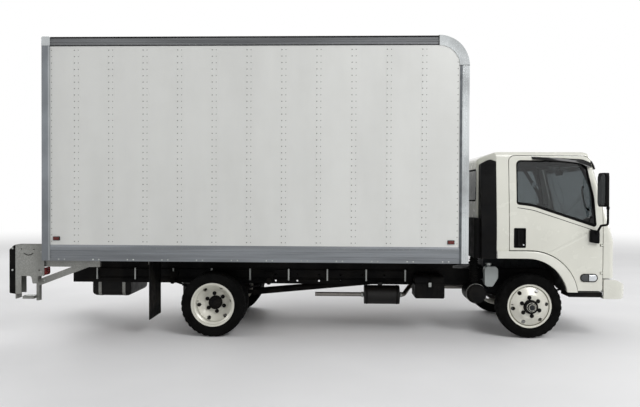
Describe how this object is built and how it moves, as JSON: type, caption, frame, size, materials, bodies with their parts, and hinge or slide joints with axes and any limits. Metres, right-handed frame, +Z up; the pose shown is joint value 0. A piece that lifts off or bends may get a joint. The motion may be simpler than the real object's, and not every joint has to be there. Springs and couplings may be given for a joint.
{
  "type": "box truck",
  "caption": "Light box truck with a tilting cab over the engine, a riveted aluminium van body, twin rear wheels and a rear step with dock bumpers.",
  "frame": {"origin": "on the ground, centred under the truck between its front bumper and its rear dock bumpers", "axes": "+X forward, +Y to the driver's left, +Z up"},
  "size_m": [7.356, 2.554, 3.5649],
  "materials": {
    "chassis_black": "satin",
    "spring_steel": "satin",
    "axle_black": "matte",
    "engine_grey": "matte",
    "tank_black": "satin",
    "silencer_steel": "dull",
    "black_plastic": "matte",
    "bottle_white": "satin",
    "rubber_black": "matte",
    "galvanised_steel": "dull",
    "lamp_red": "gloss",
    "wood_floor": "satin",
    "body_white": "gloss",
    "mill_aluminium": "satin",
    "polished_aluminium": "polished",
    "frame_steel": "satin",
    "cab_white": "gloss",
    "tinted_glass": "clear",
    "interior_grey": "matte",
    "seat_cloth": "matte",
    "wheel_silver": "satin",
    "tyre_rubber": "matte"
  },
  "bodies": {
    "chassis_body": {"chassis_frame": "chassis_black", "leaf_springs": "spring_steel", "front_axle": "axle_black", "rear_axle": "axle_black", "engine": "engine_grey", "propshaft": "chassis_black", "fuel_tank": "tank_black", "battery_box": "black_plastic", "coolant_bottle": "bottle_white", "air_cleaner": "black_plastic", "exhaust": "silencer_steel", "front_bumper": "cab_white", "mudflaps": "rubber_black", "rear_step": "galvanised_steel", "dock_bumpers": "rubber_black", "tail_lamps": "lamp_red", "floor_sills": "frame_steel", "load_floor": "wood_floor", "side_walls": "body_white", "front_wall": "body_white", "load_roof": "body_white", "box_rails": "mill_aluminium", "front_posts": "polished_aluminium", "rear_frame": "frame_steel", "rear_door": "body_white"},
    "cab_body": {"cab_roof": "cab_white", "cab_rear_wall": "cab_white", "cab_front_panel": "cab_white", "cab_side_frames": "cab_white", "cab_glass": "tinted_glass", "cab_floor": "interior_grey", "wheel_arches": "cab_white", "cab_steps": "black_plastic", "dashboard": "interior_grey", "seats": "seat_cloth", "air_intake": "black_plastic"},
    "steering_wheel_body": {"steering_wheel": "black_plastic"},
    "right_door_body": {"right_door": "cab_white", "right_door_glass": "tinted_glass", "right_mirror": "black_plastic"},
    "right_knuckle_body": {"right_knuckle": "axle_black"},
    "right_front_wheel_body": {"right_front_wheel": "wheel_silver", "right_front_tyre": "tyre_rubber"},
    "right_rear_wheel_body": {"right_rear_wheels": "wheel_silver", "right_rear_tyres": "tyre_rubber"},
    "left_door_body": {"left_door": "cab_white", "left_door_glass": "tinted_glass", "left_mirror": "black_plastic"},
    "left_knuckle_body": {"left_knuckle": "axle_black"},
    "left_front_wheel_body": {"left_front_wheel": "wheel_silver", "left_front_tyre": "tyre_rubber"},
    "left_rear_wheel_body": {"left_rear_wheels": "wheel_silver", "left_rear_tyres": "tyre_rubber"}
  },
  "joints": [
    {"name": "cab_tilt", "type": "hinge", "parent": "chassis_body", "child": "cab_body", "pos_m": [3.552, 0, 0.66], "axis": [0, 1, 0], "range_deg": [0, 45]},
    {"name": "steering_wheel_turn", "type": "hinge", "parent": "cab_body", "child": "steering_wheel_body", "pos_m": [2.982, 0.42, 1.48], "axis": [-0.5284, 0, 0.849], "range_deg": [-540, 540]},
    {"name": "right_door_swing", "type": "hinge", "parent": "cab_body", "child": "right_door_body", "pos_m": [3.364, -0.992, 1.2], "axis": [0, 0, 1], "range_deg": [0, 70]},
    {"name": "right_steering", "type": "hinge", "parent": "chassis_body", "child": "right_knuckle_body", "pos_m": [2.552, -0.742, 0.385], "axis": [0, 0, 1], "range_deg": [-35, 35]},
    {"name": "right_front_wheel_spin", "type": "hinge", "parent": "right_knuckle_body", "child": "right_front_wheel_body", "pos_m": [2.552, -0.832, 0.385], "axis": [0, 1, 0], "continuous": true},
    {"name": "right_rear_wheel_spin", "type": "hinge", "parent": "chassis_body", "child": "right_rear_wheel_body", "pos_m": [-1.258, -0.826, 0.385], "axis": [0, 1, 0], "continuous": true},
    {"name": "left_door_swing", "type": "hinge", "parent": "cab_body", "child": "left_door_body", "pos_m": [3.364, 0.992, 1.2], "axis": [0, 0, -1], "range_deg": [0, 70]},
    {"name": "left_steering", "type": "hinge", "parent": "chassis_body", "child": "left_knuckle_body", "pos_m": [2.552, 0.742, 0.385], "axis": [0, 0, 1], "range_deg": [-35, 35]},
    {"name": "left_front_wheel_spin", "type": "hinge", "parent": "left_knuckle_body", "child": "left_front_wheel_body", "pos_m": [2.552, 0.832, 0.385], "axis": [0, 1, 0], "continuous": true},
    {"name": "left_rear_wheel_spin", "type": "hinge", "parent": "chassis_body", "child": "left_rear_wheel_body", "pos_m": [-1.258, 0.826, 0.385], "axis": [0, 1, 0], "continuous": true}
  ],
  "couplings": [
    {"joint": "left_steering", "follows": "right_steering", "ratio": 1},
    {"joint": "steering_wheel_turn", "follows": "right_steering", "ratio": 15}
  ]
}
